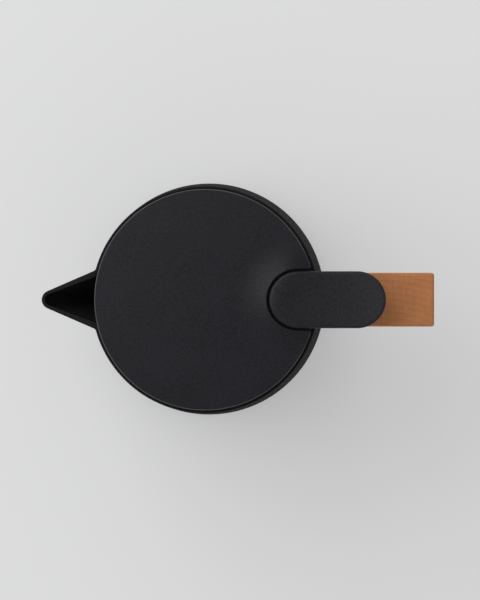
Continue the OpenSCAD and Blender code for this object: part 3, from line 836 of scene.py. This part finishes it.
def build_lever():
    ease, low_ease = 0.85, 0.35
    outline = arc_points((LEVER_START_X, 0), LEVER_R, 90, 270, 0.45)
    outline += line_points((LEVER_START_X, -LEVER_R), (LEVER_END_X, -LEVER_R), 0.7)
    outline += arc_points((LEVER_END_X, 0), LEVER_R, -90, 90, 0.45)
    outline += line_points((LEVER_END_X, LEVER_R), (LEVER_START_X, LEVER_R), 0.7)
    hollow_r = ((LEVER_X1 - LEVER_LOW_X) ** 2 + (LEVER_HIGH_Z - LEVER_LOW_Z) ** 2) / (
        2 * (LEVER_HIGH_Z - LEVER_LOW_Z))
    slot = rounded_box(HINGE_X - 8.2, 0.4, HINGE_X + 7.4, 0.4, SLOT_HALF_W, 0.8)

    def top_height(xy):
        hollow = LEVER_LOW_Z + hollow_r - np.sqrt(hollow_r ** 2 - (xy[:, 0] - LEVER_LOW_X) ** 2)
        depth = signed_distance(xy, outline)
        end = np.clip(1 - depth / END_REACH, 0, 1) ** 2 * np.clip((LEVER_START_X - xy[:, 0]) / LEVER_R, 0, 1)
        return hollow - END_DROP * end - eased_edge(depth, ease)

    def bottom_height(xy):
        x = xy[:, 0]
        under = np.interp(x, [LEVER_X0, LEVER_RAMP_X, LEVER_STEP_X, LEVER_CHAMFER_X, LEVER_X1 + 1],
                          [LEVER_FLOOR_Z, LEVER_FLOOR_Z, LEVER_UNDER_Z, LEVER_UNDER_Z,
                           LEVER_UNDER_Z + LEVER_CHAMFER_H])
        under = under + eased_edge(signed_distance(xy, outline), low_ease)
        return np.where(signed_distance(xy, slot) > 0, SLOT_CEILING_Z, under)

    top_points = np.concatenate([edge_rings(outline, ease), grid_points(outline, 0.8, 1.0)])
    lines = [p for x in (LEVER_RAMP_X, LEVER_STEP_X, LEVER_CHAMFER_X)
             for p in line_points((x, -8.5), (x, 8.5), 0.8)]
    slot_points = np.concatenate([inset(slot, 0.02), inset(slot, -0.02)])
    low_grid = grid_points(outline, 1.4, 0.8)
    low_grid = low_grid[np.abs(signed_distance(low_grid, slot)) > 0.5]
    bottom_points = np.concatenate([edge_rings(outline, low_ease), np.array(lines), slot_points, low_grid])
    plate("lever_shell", outline, (top_points, top_height), (bottom_points, bottom_height),
          "lid", ["lid_lever"], LEVER_COAT)


# ---------------------------------------------------------------- wooden handle
def build_grip():
    arm_z, foot_z, top_z = 131.0, 57.0, 152.0
    x0, inner_x, outer_x = 60.0, 70.0, 89.7
    lean = CONE * (top_z - foot_z)
    lean_arm = CONE * (arm_z - foot_z)
    half = GRIP_W / 2
    ease = 1.1
    outline = rounded_loop([
        (x0, arm_z, 1.0), (inner_x, arm_z, 7.5), (inner_x + lean_arm, foot_z, 4.0),
        (outer_x + lean, foot_z, 4.0), (outer_x, top_z, 1.1), (x0, top_z, 0.8)], 1.2)
    sink_r, sink = 3.7, 2.2

    def height(xy):
        level = half - eased_edge(signed_distance(xy, outline), ease)
        for x, z in GRIP_SCREWS:
            level = np.where(np.hypot(xy[:, 0] - x, xy[:, 1] - z) < sink_r, half - sink, level)
        return level

    rims = [np.array(arc_points(c, sink_r + d, 0, 360, 0.6)) for c in GRIP_SCREWS for d in (-0.02, 0.02)]
    inner = grid_points(outline, 2.2, 2.0)
    for x, z in GRIP_SCREWS:
        inner = inner[np.hypot(inner[:, 0] - x, inner[:, 1] - z) > sink_r + 0.8]
    points = np.concatenate([edge_rings(outline, ease)] + rims + [inner])
    plate("grip_wood", outline, (points, height), (points, lambda xy: -height(xy)),
          "collector", ["handle_grip"], WOOD, axes=(0, 2, 1))


# ---------------------------------------------------------------- small parts with eased edges
FLAT_DEG = 0.5      # facets that bend less than this make one flat face
EASE_DEG = 35       # edges that bend more than this are eased


def softened(node_name, body, width):
    """Replaces a sub-part by a copy of its own shape with its sharp edges eased by a width in mm."""
    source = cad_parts[node_name]
    bm = bmesh.new()
    bm.from_mesh(source.data)
    bm.transform(source.matrix_world)
    bmesh.ops.remove_doubles(bm, verts=bm.verts, dist=WELD)
    bmesh.ops.dissolve_limit(bm, angle_limit=math.radians(FLAT_DEG), verts=bm.verts, edges=bm.edges)
    sharp = [e for e in bm.edges
             if len(e.link_faces) == 2 and e.calc_face_angle() > math.radians(EASE_DEG)]
    bmesh.ops.bevel(bm, geom=sharp, offset=width * MM, segments=2, profile=0.5, affect="EDGES",
                    clamp_overlap=False)
    bmesh.ops.triangulate(bm, faces=[f for f in bm.faces if len(f.verts) > 4])
    bmesh.ops.recalc_face_normals(bm, faces=bm.faces)
    mesh = bpy.data.meshes.new(node_name + "_eased")
    bm.to_mesh(mesh)
    bm.free()
    add_piece(mesh, body, [node_name], NODE_MATERIALS[node_name], sharp_deg=EASE_DEG + 5)


build_collector()
build_boiler()
build_lid()
build_lever()
build_grip()
build_spring()
softened("handle_bracket", "collector", 0.6)
softened("valve_body", "boiler", 0.3)
softened("handle_screws", "collector", 0.25)
softened("handle_nuts", "collector", 0.25)


# ---------------------------------------------------------------- stage
FLOOR_SIZE = 12.0       # metres, so that its edge stays far off in low views
FLOOR_GLOW = 0.33       # a lit sweep, which keeps the shadow on it faint
FLOOR_DROP = 0.1 * MM   # keeps the floor and the base's flat underside from sharing one plane
SKY_LIGHT = 0.46
LIGHT_AIM = Vector((0, 0, 0.05))


def stage():
    bpy.ops.mesh.primitive_plane_add(size=FLOOR_SIZE, location=(0, 0, -FLOOR_DROP))
    floor = bpy.context.object
    floor.name = "floor"
    m = Nodes.new("floor_paper")
    m.set(Roughness=0.9, Specular_IOR_Level=0.1)
    m.set(Base_Color=(0.48, 0.482, 0.487, 1))
    m.set(Emission_Color=(0.995, 0.998, 1.0, 1), Emission_Strength=FLOOR_GLOW)
    floor.data.materials.append(m.mat)


def area_light(name, place, size, power):
    """A white square panel that faces the pot."""
    data = bpy.data.lights.new(name, "AREA")
    data.shape = "SQUARE"
    data.size = size
    data.energy = power
    lamp = bpy.data.objects.new(name, data)
    lamp.location = place
    lamp.rotation_euler = (LIGHT_AIM - Vector(place)).to_track_quat("-Z", "Y").to_euler()
    bpy.context.scene.collection.objects.link(lamp)


def camera():
    data = bpy.data.cameras.new("camera")
    data.sensor_width = 36.0
    data.lens = 183.9
    data.shift_y = -0.0102
    cam = bpy.data.objects.new("camera", data)
    cam.location = (0.0136, 0.00227, 1.353)
    bpy.context.scene.collection.objects.link(cam)
    bpy.context.scene.camera = cam


def lights():
    world = bpy.data.worlds.new("studio")
    world.use_nodes = True
    background = world.node_tree.nodes["Background"]
    background.inputs["Color"].default_value = (1.0, 1.0, 1.0, 1)
    background.inputs["Strength"].default_value = SKY_LIGHT
    bpy.context.scene.world = world
    area_light("key", (-1.05, 1.1, 1.6), 2.2, 25.0)
    area_light("side", (-1.7, -0.1, 1.1), 1.2, 7.0)


stage()
camera()
lights()
bpy.context.scene.view_settings.view_transform = "Standard"
